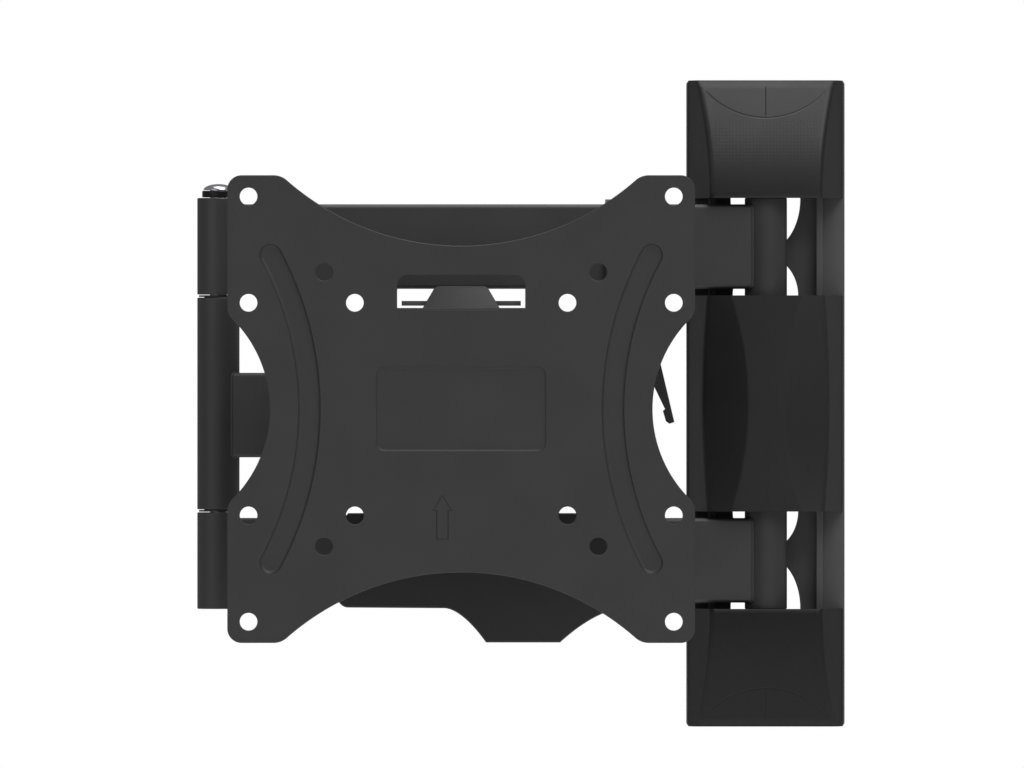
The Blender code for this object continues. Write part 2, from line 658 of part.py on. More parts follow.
def make_swivel_bolt():
    ear_top = TUBE_HEIGHT / 2 + JOINT_GAP + YOKE_SHEET
    under_head = ear_top + WASHER_SHEET + 2 * FIT
    axis = (HEAD_X, AXIS_Y, SHORT_ARM_Z)
    hex_bolt("swivel_bolt", "head", under_head, -(under_head + NUT_HEIGHT + THREAD_END), axis, FLAT, "zinc")
    nut_place = (HEAD_X, AXIS_Y, SHORT_ARM_Z - under_head - NUT_HEIGHT / 2)
    hex_nut("swivel_nut", "head", nut_place, FLAT, NUT_HEIGHT, "zinc")
    for side, name in ((1, "top"), (-1, "bottom")):
        low, high = sorted((side * (ear_top + FIT), side * (ear_top + FIT + WASHER_SHEET)))
        section = ring_profile(WASHER_RADIUS, BOLT_HOLE, low, high)
        turned("swivel_washer_" + name, section, "head", axis, "zinc")


def make_tilt_axle():
    under_head = BRACKET_OUTER + FIT + WASHER_SHEET + FIT
    axis = (HEAD_X, TILT_Y, SHORT_ARM_Z)
    hex_bolt("tilt_axle", "head", under_head, -(under_head + NUT_HEIGHT + THREAD_END), axis, ALONG_X, "zinc")
    nut_place = (HEAD_X - under_head - NUT_HEIGHT / 2, TILT_Y, SHORT_ARM_Z)
    hex_nut("tilt_nut", "head", nut_place, ALONG_X, NUT_HEIGHT, "zinc")
    ear_face = YOKE_WIDTH / 2 + FIT
    for side, name in ((1, "right"), (-1, "left")):
        low, high = sorted((side * (BRACKET_OUTER + FIT), side * (BRACKET_OUTER + FIT + WASHER_SHEET)))
        section = ring_profile(WASHER_RADIUS, BOLT_HOLE, low, high)
        turned("tilt_washer_" + name, section, "head", axis, "zinc", ALONG_X)
        low, high = sorted((side * ear_face, side * (ear_face + FRICTION_WASHER)))
        section = ring_profile(WASHER_RADIUS, BOLT_HOLE, low, high)
        turned("tilt_friction_washer_" + name, section, "head", axis, "nylon", ALONG_X)


def plate_quarter():
    """A quarter of the plate's edge, from the top scallop's waist clockwise to the side scallop's waist."""
    half = PLATE_SIZE / 2
    top_z = TOP_SCALLOP_WAIST + TOP_SCALLOP_RADIUS
    fillet_z = half - TOP_SCALLOP_FILLET
    reach = TOP_SCALLOP_RADIUS + TOP_SCALLOP_FILLET
    fillet_x = math.sqrt(reach**2 - (top_z - fillet_z) ** 2)
    swing = math.degrees(math.atan2(fillet_x, top_z - fillet_z))
    points = arc((0, top_z), TOP_SCALLOP_RADIUS, -90, -90 + swing, 8)
    points += arc((fillet_x, fillet_z), TOP_SCALLOP_FILLET, 90 + swing, 90, 4)
    points += arc((half - PLATE_CORNER, half - PLATE_CORNER), PLATE_CORNER, 90, 0, 5)
    side_x = SIDE_SCALLOP_WAIST + SIDE_SCALLOP_RADIUS
    fillet_x = half - SIDE_SCALLOP_FILLET
    reach = SIDE_SCALLOP_RADIUS + SIDE_SCALLOP_FILLET
    fillet_z = math.sqrt(reach**2 - (side_x - fillet_x) ** 2)
    swing = math.degrees(math.atan2(fillet_z, side_x - fillet_x))
    points += arc((fillet_x, fillet_z), SIDE_SCALLOP_FILLET, 0, -swing, 4)
    points += arc((side_x, 0), SIDE_SCALLOP_RADIUS, 180 - swing, 180, 7)
    return points


def plate_outline():
    quarter = plate_quarter()
    right = quarter + [(x, -z) for x, z in reversed(quarter[:-1])]
    return right + [(-x, z) for x, z in reversed(right[1:-1])]


def slot_outline():
    half = SLOT_WIDTH / 2
    top = arc((half - SLOT_CORNER, SLOT_TOP - SLOT_CORNER), SLOT_CORNER, 0, 90, 4)
    return [(half, SLOT_BOTTOM)] + top + [(-x, z) for x, z in reversed(top)] + [(-half, SLOT_BOTTOM)]


def groove_outline(width):
    """A band of constant width along the groove's arc, with round ends. Right-hand side of the plate."""
    centre = GROOVE_WAIST + GROOVE_RADIUS
    swing = math.degrees(math.asin((GROOVE_HALF_HEIGHT - width / 2) / GROOVE_RADIUS))
    inner = arc((centre, 0), GROOVE_RADIUS + width / 2, 180 - swing, 180 + swing, 13)
    outer = arc((centre, 0), GROOVE_RADIUS - width / 2, 180 + swing, 180 - swing, 13)
    ends = []
    for turn in (swing, -swing):
        angle = math.radians(180 - turn)
        middle = (centre + GROOVE_RADIUS * math.cos(angle), GROOVE_RADIUS * math.sin(angle))
        start = 180 - turn if turn < 0 else -turn
        ends.append(arc(middle, width / 2, start, start + 180, 6)[1:-1])
    return inner + ends[1] + outer + ends[0]


def make_screen_plate():
    """The plate that the screen bolts to. x and z run from its own centre."""
    outlines = [plate_outline(), slot_outline()]
    for x, z in SCREEN_HOLES:
        for sx in (1, -1):
            for sz in (1, -1):
                outlines.append(circle((sx * x * MM, sz * z * MM), SCREEN_HOLE / 2))
    place = Vector((HEAD_X, (PLATE_BACK + PLATE_FRONT) / 2, PLATE_Z))
    plate = add("screen_plate", slab_mesh(outlines, PLATE_SHEET), "screen", place, "black_steel", FACING)
    rib_width = GROOVE_WIDTH + PLATE_SHEET
    for side, name in ((1, "right"), (-1, "left")):
        rib = [(side * x, z) for x, z in groove_outline(rib_width)]
        middle = PLATE_BACK + (GROOVE_DEPTH - PLATE_SHEET / 2) / 2
        mesh = slab_mesh([rib], GROOVE_DEPTH + PLATE_SHEET / 2)
        join(plate, add_cutter("groove_rib_" + name, mesh, (HEAD_X, middle, PLATE_Z), FACING), "UNION")
    for side, name in ((1, "right"), (-1, "left")):
        groove = [(side * x, z) for x, z in groove_outline(GROOVE_WIDTH - PLATE_SHEET / 2)]
        mesh = slab_mesh([groove], 2 * GROOVE_DEPTH)
        join(plate, add_cutter("groove_" + name, mesh, (HEAD_X, PLATE_FRONT, PLATE_Z), FACING))
    mesh = slab_mesh([rounded_box(RECESS_WIDTH, RECESS_HEIGHT, RECESS_CORNER)], 2 * RECESS_DEPTH)
    join(plate, add_cutter("recess", mesh, (HEAD_X, PLATE_FRONT, PLATE_Z), FACING))
    root, tip = TONGUE_WIDTH / 2, TONGUE_TIP_WIDTH / 2
    height = TONGUE_HEIGHT / math.cos(TONGUE_LEAN)
    outline = [(root, 0), (tip, height), (-tip, height), (-root, 0), (-root, -PLATE_SHEET), (root, -PLATE_SHEET)]
    mesh = slab_mesh([outline], TONGUE_SHEET)
    place.z += SLOT_BOTTOM
    tool = add_cutter("tongue", mesh, place, (math.pi / 2 - TONGUE_LEAN, 0, 0))
    join(plate, tool, "UNION")


def make_tilt_bracket():
    """The bracket on the back of the screen plate whose ears turn on the tilt axle."""
    web_middle = PLATE_BACK + FIT + BRACKET_SHEET / 2
    height = BRACKET_TOP - BRACKET_BOTTOM
    web = box_mesh(2 * BRACKET_OUTER - FIT, BRACKET_SHEET, height)
    place = (HEAD_X, web_middle, PLATE_Z + (BRACKET_TOP + BRACKET_BOTTOM) / 2)
    bracket = add("tilt_bracket", web, "screen", place, "black_steel")
    for side, name in ((1, "right"), (-1, "left")):
        mesh = tilt_ear(web_middle - TILT_Y, BRACKET_EAR_ROOT, TILT_EAR_RADIUS, BRACKET_SHEET)
        x = HEAD_X + side * (BRACKET_OUTER - BRACKET_SHEET / 2)
        tool = add_cutter("bracket_ear_" + name, mesh, (x, TILT_Y, SHORT_ARM_Z), SIDEWAYS)
        join(bracket, tool, "UNION")
    neck_middle = web_middle + BRACKET_SHEET * 0.8
    neck_top = SHELF_TOP - SHELF_SHEET / 2
    neck = box_mesh(NECK_WIDTH, BRACKET_SHEET, neck_top - NECK_ROOT)
    neck_place = (HEAD_X, neck_middle, PLATE_Z + (neck_top + NECK_ROOT) / 2)
    join(bracket, add_cutter("bracket_neck", neck, neck_place), "UNION")
    shelf_front = neck_middle - BRACKET_SHEET / 4
    shelf = box_mesh(SHELF_WIDTH, SHELF_DEPTH, SHELF_SHEET)
    shelf_place = (HEAD_X, shelf_front + SHELF_DEPTH / 2, PLATE_Z + SHELF_TOP - SHELF_SHEET / 2)
    join(bracket, add_cutter("bracket_shelf", shelf, shelf_place), "UNION")


def lobe_curve():
    """The lower edge of the cable cover's lobe, from its left end to its right, x across and z up."""
    points = []
    ends = ((LOBE_TOP_SPAN[0], LOBE_FLOOR_SPAN[0]), (LOBE_TOP_SPAN[1], LOBE_FLOOR_SPAN[1]))
    for side, (top, floor) in enumerate(ends):
        slope = []
        for i in range(LOBE_STEPS + 1):
            share = i / LOBE_STEPS
            drop = FIT + (LOBE_DROP - FIT) * share**1.7
            slope.append((-(top + (floor - top) * share), -drop))
        points += slope if side == 0 else slope[::-1]
    return points


def make_cable_cover():
    """The moulded cover on the lower tube, with a duct for cables in the lobe under it."""
    top = TUBE_HEIGHT / 2 + FIT + CABLE_WALL
    left, right = -CABLE_COVER_SPAN[0], -CABLE_COVER_SPAN[1]
    corner = CABLE_COVER_CHAMFER
    outline = [(right, -top), (right, top), (left + corner, top), (left, top - corner)]
    outline += arc((left + corner, -top + corner), corner, 180, 270, 4)
    outline += [(x, z - top) for x, z in lobe_curve()]
    front = TUBE_FRONT - FIT - CABLE_WALL
    back = AXIS_Y + TUBE_DEPTH / 2
    mesh = slab_mesh([outline], back - front)
    cover = add("cable_cover", mesh, "long_arm", (0, (front + back) / 2, -TUBE_Z), "clip_plastic", FACING)
    length = 2 * LONG_ARM
    tube_room = box_mesh(length, TUBE_DEPTH + 2 * FIT, TUBE_HEIGHT + 2 * FIT)
    join(cover, add_cutter("cable_cover_tube", tube_room, (0, AXIS_Y, -TUBE_Z)))
    duct_depth = back - front - 2 * CABLE_WALL
    duct_height = LOBE_DROP - CABLE_WALL - DUCT_FLOOR
    duct = box_mesh(length, duct_depth, duct_height)
    duct_z = -TUBE_Z - top - DUCT_FLOOR - duct_height / 2
    join(cover, add_cutter("cable_cover_duct", duct, (0, (front + back) / 2, duct_z)))


def make_cable_clip():
    """The band on the upper tube with a horn that holds cables up."""
    depth, height = TUBE_DEPTH + 2 * FIT, TUBE_HEIGHT + 2 * FIT
    outer = rounded_box(depth + 2 * CABLE_WALL, height + 2 * CABLE_WALL, TUBE_EDGE + CABLE_WALL, steps=4)
    inner = rounded_box(depth, height, TUBE_EDGE)
    band = slab_mesh([outer, inner], CLIP_BAND_SPAN[0] - CLIP_BAND_SPAN[1])
    middle = -sum(CLIP_BAND_SPAN) / 2
    clip = add("cable_clip", band, "long_arm", (middle, AXIS_Y, TUBE_Z), "clip_plastic", SIDEWAYS)
    band_floor = TUBE_Z - height / 2 - CABLE_WALL / 2
    horn = [(-x * MM, band_floor - drop * MM) for x, drop in CLIP_HORN]
    tool = add_cutter("cable_clip_horn", slab_mesh([horn], CLIP_HORN_DEPTH), (0, AXIS_Y, 0), FACING)
    join(clip, tool, "UNION")


clear_scene()
PARTS = new_collection("full_motion_wall_mount")
CUTTERS = new_collection("cutters")
EMPTIES = make_axes()
make_wall_plate()
make_hinge_channel()
make_hinge_brackets()
make_wall_pivot()
make_covers()
make_long_arm()
make_elbow()
make_short_arm()
make_yoke()
make_swivel_bolt()
make_tilt_axle()
make_screen_plate()
make_tilt_bracket()
make_cable_cover()
make_cable_clip()
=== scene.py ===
"""Full motion wall mount: the finished look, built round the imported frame.

Metres, +Z up, the screen faces -Y.
"""

import json
import math

import bmesh
import bpy
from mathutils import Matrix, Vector


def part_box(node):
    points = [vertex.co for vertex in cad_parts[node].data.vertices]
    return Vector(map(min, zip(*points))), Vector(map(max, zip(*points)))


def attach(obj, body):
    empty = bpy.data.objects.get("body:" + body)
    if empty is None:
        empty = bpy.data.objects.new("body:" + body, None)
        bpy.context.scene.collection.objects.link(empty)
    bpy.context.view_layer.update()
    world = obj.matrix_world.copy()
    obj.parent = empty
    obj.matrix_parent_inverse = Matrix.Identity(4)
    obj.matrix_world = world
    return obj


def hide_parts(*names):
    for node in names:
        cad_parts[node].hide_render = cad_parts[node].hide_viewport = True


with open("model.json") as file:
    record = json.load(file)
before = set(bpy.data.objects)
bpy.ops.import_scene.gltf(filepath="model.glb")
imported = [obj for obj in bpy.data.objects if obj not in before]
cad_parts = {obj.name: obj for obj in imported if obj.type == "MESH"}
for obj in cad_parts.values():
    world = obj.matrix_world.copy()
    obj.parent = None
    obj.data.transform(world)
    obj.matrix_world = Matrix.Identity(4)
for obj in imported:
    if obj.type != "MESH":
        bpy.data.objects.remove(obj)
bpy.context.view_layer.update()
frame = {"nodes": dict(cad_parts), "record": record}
MM = 0.001
AXIS_Y = -22 * MM  # plane of the three upright axes
ELBOW_X = -259 * MM
HEAD_X = -144 * MM
FRONT = -94.5 * MM  # front of the screen plate
PLATE_Z = -2.6 * MM
PLATE_SHEET = 2.5 * MM
STACK_TOP = 97.2 * MM
BARREL_RADIUS = 10 * MM
BOLT_BORE = 4.3 * MM
BUSH_BORE = 7.0 * MM
TUBE_DEPTH = 16 * MM
TUBE_HEIGHT = 40 * MM
TUBE_EDGE = 2 * MM
TUBE_WALL = 2 * MM
TUBE_Z = 74.2 * MM  # middle of the long arm's tubes, above and below the mount's middle
SHORT_ARM_Z = -5.5 * MM
WALL_WIDTH = 75 * MM
WALL_HALF_HEIGHT = 153 * MM
COVER_DEPTH = 36 * MM
COVER_LEAN = 0.314  # how much a cover's side leans in for each step away from the wall
WINDOW_OUTER = 97.1 * MM
WINDOW_INNER = 51.1 * MM
FIT = 0.3 * MM
ORIGIN = (0, 0, 0)
FLAT = (0, 0, 0)
FACING = (math.pi / 2, 0, 0)
SIDEWAYS = (math.pi / 2, 0, math.pi / 2)
ALONG_X = (0, math.pi / 2, 0)
ROUND = 96

DETAIL = bpy.data.collections.new("finished_pieces")
bpy.context.scene.collection.children.link(DETAIL)


# Shapes

def evaluated_mesh(obj):
    graph = bpy.context.evaluated_depsgraph_get()
    return bpy.data.meshes.new_from_object(obj.evaluated_get(graph))


def arc(centre, radius, start, end, steps):
    across, up = radius if isinstance(radius, tuple) else (radius, radius)
    angles = [math.radians(start + (end - start) * i / steps) for i in range(steps + 1)]
    return [(centre[0] + across * math.cos(a), centre[1] + up * math.sin(a)) for a in angles]


def circle(centre, radius, sides=48):
    return arc(centre, radius, 0, 360, sides)[:-1]


def rounded_box(width, height, radius, centre=(0, 0), steps=8):
    points = []
    for turn, (sx, sy) in enumerate(((1, 1), (-1, 1), (-1, -1), (1, -1))):
        middle = (centre[0] + sx * (width / 2 - radius), centre[1] + sy * (height / 2 - radius))
        points += arc(middle, radius, 90 * turn, 90 * turn + 90, steps)
    return points


def stadium(length, width, centre):
    half = length / 2 - width / 2
    right = arc((centre[0] + half, centre[1]), width / 2, -90, 90, 20)
    return right + arc((centre[0] - half, centre[1]), width / 2, 90, 270, 20)


def slab(outlines, thickness, edge=0.0, segments=3):
    """A flat sheet with round edges, in its own XY plane.

    The first outline is its rim, and the rest are holes.
    """
    curve = bpy.data.curves.new("outline", "CURVE")
    curve.dimensions = "2D"
    curve.fill_mode = "BOTH"
    curve.extrude = thickness / 2 - edge
    curve.bevel_depth = edge
    curve.bevel_resolution = segments - 1
    curve.offset = -edge
    for index, outline in enumerate(outlines):
        pairs = zip(outline, outline[1:] + outline[:1])
        anticlockwise = sum(a[0] * b[1] - b[0] * a[1] for a, b in pairs) > 0
        if anticlockwise == bool(index):
            outline = outline[::-1]
        spline = curve.splines.new("POLY")
        spline.points.add(len(outline) - 1)
        for point, (x, y) in zip(spline.points, outline):
            point.co = (x, y, 0, 1)
        spline.use_cyclic_u = True
    guide = bpy.data.objects.new("guide", curve)
    bpy.context.scene.collection.objects.link(guide)
    mesh = evaluated_mesh(guide)
    bpy.data.objects.remove(guide)
    made = bmesh.new()
    made.from_mesh(mesh)
    bmesh.ops.remove_doubles(made, verts=made.verts, dist=0.000001)
    bmesh.ops.recalc_face_normals(made, faces=made.faces)
    made.to_mesh(mesh)
    made.free()
    return mesh


def box_mesh(width, depth, height, edge=0.0):
    made = bmesh.new()
    bmesh.ops.create_cube(made, size=1)
    bmesh.ops.scale(made, vec=(width, depth, height), verts=made.verts)
    if edge:
        bmesh.ops.bevel(made, geom=made.edges[:], offset=edge, segments=3, affect="EDGES", profile=0.5)
    mesh = bpy.data.meshes.new("box")
    made.to_mesh(mesh)
    made.free()
    return mesh


def rod_mesh(radius, length, sides=ROUND):
    made = bmesh.new()
    bmesh.ops.create_cone(made, cap_ends=True, segments=sides, radius1=radius, radius2=radius, depth=length)
    mesh = bpy.data.meshes.new("rod")
    made.to_mesh(mesh)
    made.free()
    return mesh


def turn_mesh(profile):
    """A turned piece from (radius, height) points down its outer side, on +Z."""
    ring = profile[0][0] > 0
    count = len(profile)
    edges = [(i, (i + 1) % count) for i in range(count if ring else count - 1)]
    mesh = bpy.data.meshes.new("profile")
    mesh.from_pydata([(r, 0, z) for r, z in profile], edges, [])
    guide = bpy.data.objects.new("guide", mesh)
    bpy.context.scene.collection.objects.link(guide)
    screw = guide.modifiers.new("turn", "SCREW")
    screw.steps = screw.render_steps = ROUND
    screw.use_merge_vertices = True
    screw.merge_threshold = 0.000001
    made = evaluated_mesh(guide)
    bpy.data.objects.remove(guide)
    return made


def smooth(mesh, angle=32):
    mesh.shade_smooth()
    mesh.set_sharp_from_angle(angle=math.radians(angle))


def temporary(mesh, place, rotation=FLAT):
    obj = bpy.data.objects.new("tool", mesh)
    bpy.context.scene.collection.objects.link(obj)
    obj.location = place
    obj.rotation_euler = rotation
    return obj


def placed(mesh, place, rotation=FLAT, tools=()):
    """The mesh moved into the mount's frame, after its Booleans."""
    obj = temporary(mesh, place, rotation)
    extra = []
    for operation, tool_mesh, tool_place, tool_rotation in tools:
        tool = temporary(tool_mesh, tool_place, tool_rotation)
        modifier = obj.modifiers.new("cut", "BOOLEAN")
        modifier.object = tool
        modifier.operation = operation
        extra.append(tool)
    bpy.context.view_layer.update()
    made = evaluated_mesh(obj)
    made.transform(obj.matrix_world)
    for tool in extra + [obj]:
        bpy.data.objects.remove(tool)
    return made


def keep_flat(mesh, directions):
    """Faces square to these directions (0 to 2) stay truly flat, so that no round edge shades them."""
    for face in mesh.polygons:
        if any(abs(face.normal[i]) > 0.99999 for i in directions):
            face.use_smooth = False


def finish(name, mesh, body, material, nodes, angle=32, flats=()):
    obj = bpy.data.objects.new(name, mesh)
    DETAIL.objects.link(obj)
    mesh.materials.clear()
    mesh.materials.append(material)
    smooth(mesh, angle)
    keep_flat(mesh, flats)
    level = obj.modifiers.new("level_flats", "WEIGHTED_NORMAL")
    level.mode = "FACE_AREA"
    level.weight = 100
    level.keep_sharp = True
    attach(obj, body)
    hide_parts(*nodes)


def added(name, mesh, body, material):
    """A small piece that the frame doesn't have."""
    obj = bpy.data.objects.new(name, mesh)
    DETAIL.objects.link(obj)
    mesh.materials.clear()
    mesh.materials.append(material)
    smooth(mesh)
    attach(obj, body)


def fine_bead(name, points, radius, rings, body, material):
    """A closed round bead through the points."""
    curve = bpy.data.curves.new(name, "CURVE")
    curve.dimensions = "3D"
    curve.bevel_depth = radius
    curve.bevel_resolution = rings
    spline = curve.splines.new("POLY")
    spline.points.add(len(points) - 1)
    for point, place in zip(spline.points, points):
        point.co = (*place, 1)
    spline.use_cyclic_u = True
    guide = temporary(curve, ORIGIN)
    mesh = evaluated_mesh(guide)
    bpy.data.objects.remove(guide)
    added(name, mesh, body, material)


# Materials

def node(tree, kind, **values):
    made = tree.nodes.new(kind)
    for key, value in values.items():
        if hasattr(made, key):
            setattr(made, key, value)
        else:
            made.inputs[key].default_value = value
    return made


def maths(tree, operation, *inputs, clamp=False):
    made = tree.nodes.new("ShaderNodeMath")
    made.operation = operation
    made.use_clamp = clamp
    for socket, value in zip(made.inputs, inputs):
        if isinstance(value, (int, float)):
            socket.default_value = value
        else:
            tree.links.new(value, socket)
    return made.outputs[0]


def coat(name, colour, roughness, metallic, grain, depth, spread=0.12, specular=0.5):
    """A surface with a fine grain in relief and slight changes of colour and gloss.

    The grain is in cells a metre, and depth in metres.
    """
    made = bpy.data.materials.new(name)
    made.use_nodes = True
    tree = made.node_tree
    shader = tree.nodes["Principled BSDF"]
    shader.inputs["Metallic"].default_value = metallic
    shader.inputs["Specular IOR Level"].default_value = specular
    place = tree.nodes.new("ShaderNodeTexCoord").outputs["Object"]
    fine = node(tree, "ShaderNodeTexNoise", Scale=grain, Detail=3.0, Roughness=0.6)
    broad = node(tree, "ShaderNodeTexNoise", Scale=38.0, Detail=4.0, Roughness=0.55)
    for texture in (fine, broad):
        tree.links.new(place, texture.inputs["Vector"])
    tone = node(tree, "ShaderNodeMapRange")
    tone.inputs["To Min"].default_value = 1 - spread
    tone.inputs["To Max"].default_value = 1 + spread
    broad_part = maths(tree, "MULTIPLY", broad.outputs[0], 0.65)
    mixed = maths(tree, "MULTIPLY_ADD", fine.outputs[0], 0.35, broad_part)
    tree.links.new(mixed, tone.inputs["Value"])
    paint = tree.nodes.new("ShaderNodeVectorMath")
    paint.operation = "SCALE"
    paint.inputs[0].default_value = colour
    tree.links.new(tone.outputs[0], paint.inputs["Scale"])
    tree.links.new(paint.outputs[0], shader.inputs["Base Color"])
    gloss = node(tree, "ShaderNodeMapRange")
    gloss.inputs["To Min"].default_value = roughness - 0.07
    gloss.inputs["To Max"].default_value = roughness + 0.09
    tree.links.new(broad.outputs[0], gloss.inputs["Value"])
    tree.links.new(gloss.outputs[0], shader.inputs["Roughness"])
    bump = node(tree, "ShaderNodeBump", Strength=1.0, Distance=depth)
    tree.links.new(fine.outputs[0], bump.inputs["Height"])
    tree.links.new(bump.outputs[0], shader.inputs["Normal"])
    return made


def engrave(material, lines, depth):
    """Adds fine engraved lines to a material. Each of lines builds a strength from 0 to 1."""
    tree = material.node_tree
    shader = tree.nodes["Principled BSDF"]
    split = tree.nodes.new("ShaderNodeSeparateXYZ")
    tree.links.new(tree.nodes.new("ShaderNodeTexCoord").outputs["Object"], split.inputs[0])
    x, _, z = split.outputs
    total = None
    for make in lines:
        height = make(tree, x, z)
        total = height if total is None else maths(tree, "MAXIMUM", total, height)
    old = shader.inputs["Normal"].links[0].from_socket
    bump = node(tree, "ShaderNodeBump", Strength=1.0, Distance=depth, invert=True)
    tree.links.new(total, bump.inputs["Height"])
    tree.links.new(old, bump.inputs["Normal"])
    tree.links.new(bump.outputs[0], shader.inputs["Normal"])
    return material


def near(tree, distance, width):
    """1 on a line, falling to 0 at its width."""
    share = maths(tree, "DIVIDE", maths(tree, "ABSOLUTE", distance), width)
    return maths(tree, "SUBTRACT", 1.0, share, clamp=True)


def between(tree, value, low, high):
    over = maths(tree, "GREATER_THAN", value, low)
    return maths(tree, "MULTIPLY", over, maths(tree, "LESS_THAN", value, high))


def ring_line(centre_z, radius, low, high, width=0.5 * MM):
    def make(tree, x, z):
        rise = maths(tree, "SUBTRACT", z, centre_z)
        square = maths(tree, "MULTIPLY_ADD", x, x, maths(tree, "MULTIPLY", rise, rise))
        away = maths(tree, "SUBTRACT", maths(tree, "SQRT", square), radius)
        return maths(tree, "MULTIPLY", near(tree, away, width), between(tree, z, low, high))
    return make


def upright_line(x_line, low, high, width=0.2 * MM):
    def make(tree, x, z):
        away = maths(tree, "SUBTRACT", x, x_line)
        return maths(tree, "MULTIPLY", near(tree, away, width), between(tree, z, low, high))
    return make


def weave(low, high, half_width, pitch=1.6 * MM):
    """A faint moulded grid in a band across the cover."""
    def make(tree, x, z):
        waves = [maths(tree, "COSINE", maths(tree, "MULTIPLY", v, 2 * math.pi / pitch)) for v in (x, z)]
        grid = maths(tree, "MULTIPLY", maths(tree, "MAXIMUM", *waves), 0.1)
        upright, across = between(tree, z, low, high), between(tree, x, -half_width, half_width)
        return maths(tree, "MULTIPLY", grid, maths(tree, "MULTIPLY", upright, across))
    return make


PLATE = coat("plate_coat", (0.050, 0.050, 0.051), 0.50, 0.25, 1500, 0.00006)
# The arms wear the plate's black powder coat. Their lighter colour, 0.066 against 0.050, is painted light
# that makes up for the shade the screen plate casts on them.
ARM_COAT_PAINTED_LIGHT = coat("arm_coat_painted_light", (0.066, 0.066, 0.067), 0.46, 0.25, 1500, 0.00006)
BARREL = coat("barrel_coat", (0.056, 0.056, 0.057), 0.42, 0.3, 1700, 0.00004)
# The wall steel wears the same black powder coat as the plate. Its colour, about twice the plate's, is
# painted light on sheets that sit in shade behind the covers and arms.
WALL_STEEL_PAINTED_LIGHT = coat("wall_steel_painted_light", (0.105, 0.105, 0.107), 0.50, 0.25, 1500, 0.00006)
COVER = coat("cover_plastic", (0.021, 0.021, 0.022), 0.46, 0.0, 2600, 0.00005, spread=0.06)
CLIP = coat("clip_plastic", (0.026, 0.026, 0.027), 0.44, 0.0, 2600, 0.00004, spread=0.06)
ZINC = coat("bright_zinc", (0.66, 0.66, 0.68), 0.24, 1.0, 900, 0.00002, spread=0.08)
DARK = coat("black_oxide", (0.030, 0.030, 0.031), 0.35, 0.8, 1600, 0.00003)
NYLON = coat("black_nylon", (0.028, 0.028, 0.028), 0.5, 0.0, 1200, 0.00003, spread=0.05)


def cover_coat(name, shade, roughness=0.46, specular=0.5):
    colour = (shade, shade, shade + 0.0005)
    return coat(name, colour, roughness, 0.0, 2600, 0.00005, spread=0.06, specular=specular)


TOP_COVER = engrave(
    cover_coat("top_cover_plastic", 0.014, specular=0.42),
    (ring_line(0.1731, 0.038, 0.130, 0.1476), upright_line(0, 0.136, 0.150), weave(0.115, 0.134, 0.024)),
    0.0002,
)
# The bottom cover is the same plastic as the top and middle covers. Its darker colour, 0.010 against 0.014,
# is painted shade for the cover that sits low under the arms.
BOTTOM_COVER_PAINTED_SHADE = engrave(
    cover_coat("bottom_cover_painted_shade", 0.010, 0.5, 0.3),
    (
        ring_line(-0.1727, 0.038, -0.1472, -0.130), upright_line(0, -0.150, -0.136),
        weave(-0.134, -0.115, 0.024),
    ),
    0.0002,
)
MIDDLE_COVER = engrave(
    cover_coat("middle_cover_plastic", 0.014), (upright_line(0, -0.049, 0.049),), 0.00006
)
BY_SLOT = {
    "black_steel": WALL_STEEL_PAINTED_LIGHT, "arm_steel": ARM_COAT_PAINTED_LIGHT, "barrel_steel": BARREL, "cover_plastic": COVER,
    "clip_plastic": CLIP, "zinc": ZINC, "dark_fastener": DARK, "nylon": NYLON,
}


# Wall plate, channel and covers

def bell(half_width, height, edge, base, side):
    away = 1 if edge > base else -1
    curve = arc((0, base), (half_width, -away * height), 0, 180, 48)
    points = [(half_width, edge)] + curve + [(-half_width, edge)]
    return [(x, side * y) for x, y in points]


def bells():
    made = []
    for side in (1, -1):
        made.append(bell(16.5 * MM, 24.6 * MM, 99.5 * MM, 97 * MM, side))
        made.append(bell(15.5 * MM, 18.6 * MM, 45 * MM, 51 * MM, side))
    return made


outlines = [rounded_box(WALL_WIDTH, 2 * WALL_HALF_HEIGHT, 2 * MM)] + bells()
for side in (1, -1):
    outlines.append(circle((0, side * 122 * MM), 4 * MM))
    outlines.append(stadium(24 * MM, 8 * MM, (0, side * 140 * MM)))
mesh = placed(slab(outlines, 2.5 * MM, 0.35 * MM), (0, -1.25 * MM, 0), FACING)
finish("wall_plate_finished", mesh, "wall", WALL_STEEL_PAINTED_LIGHT, ["wall_plate"], flats=(1,))

web = slab([rounded_box(54.2 * MM, 216 * MM, FIT, steps=2)] + bells(), 2.5 * MM)
tools = []
for side in (1, -1):
    flange = box_mesh(3.1 * MM, 8.25 * MM, 215.4 * MM, 0.5 * MM)
    tools.append(("UNION", flange, (side * 25.4 * MM, -8.175 * MM, 0), FLAT))
mesh = placed(web, (0, -4.05 * MM, 0), FACING, tools)
finish("hinge_channel_finished", mesh, "wall", WALL_STEEL_PAINTED_LIGHT, ["hinge_channel"], flats=(0, 1, 2))


